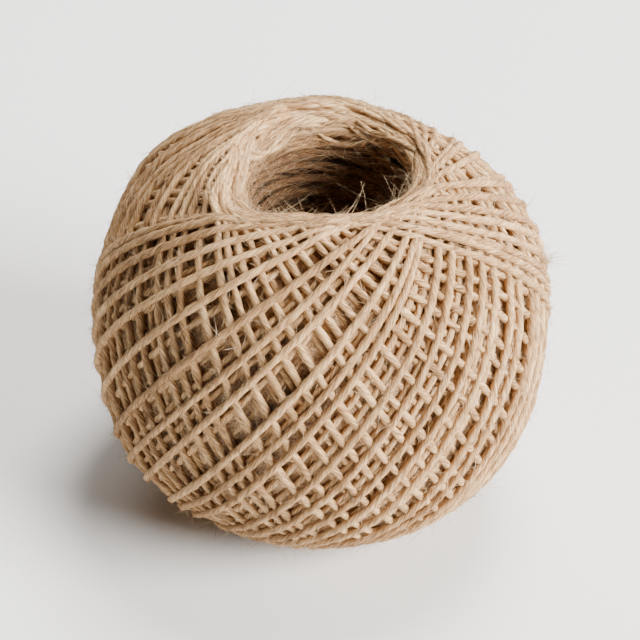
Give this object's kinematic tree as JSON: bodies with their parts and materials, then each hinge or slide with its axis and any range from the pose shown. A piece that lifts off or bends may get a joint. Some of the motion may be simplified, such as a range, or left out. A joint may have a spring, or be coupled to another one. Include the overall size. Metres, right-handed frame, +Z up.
{
  "type": "ball of jute twine",
  "caption": "Cross-wound ball of natural jute twine with a funnel-ended hole through its middle, resting on a small flat ring.",
  "frame": {"origin": "centre of the bounding box, on the surface that the ball rests on", "axes": "+Z up along the hole and the axis of the winding; -Y faces the viewer"},
  "size_m": [0.0808, 0.0804, 0.0681],
  "materials": {
    "jute_twine": "matte, hairy natural plant fibre"
  },
  "bodies": {
    "root": {"twine_ball": "jute_twine"}
  },
  "joints": []
}
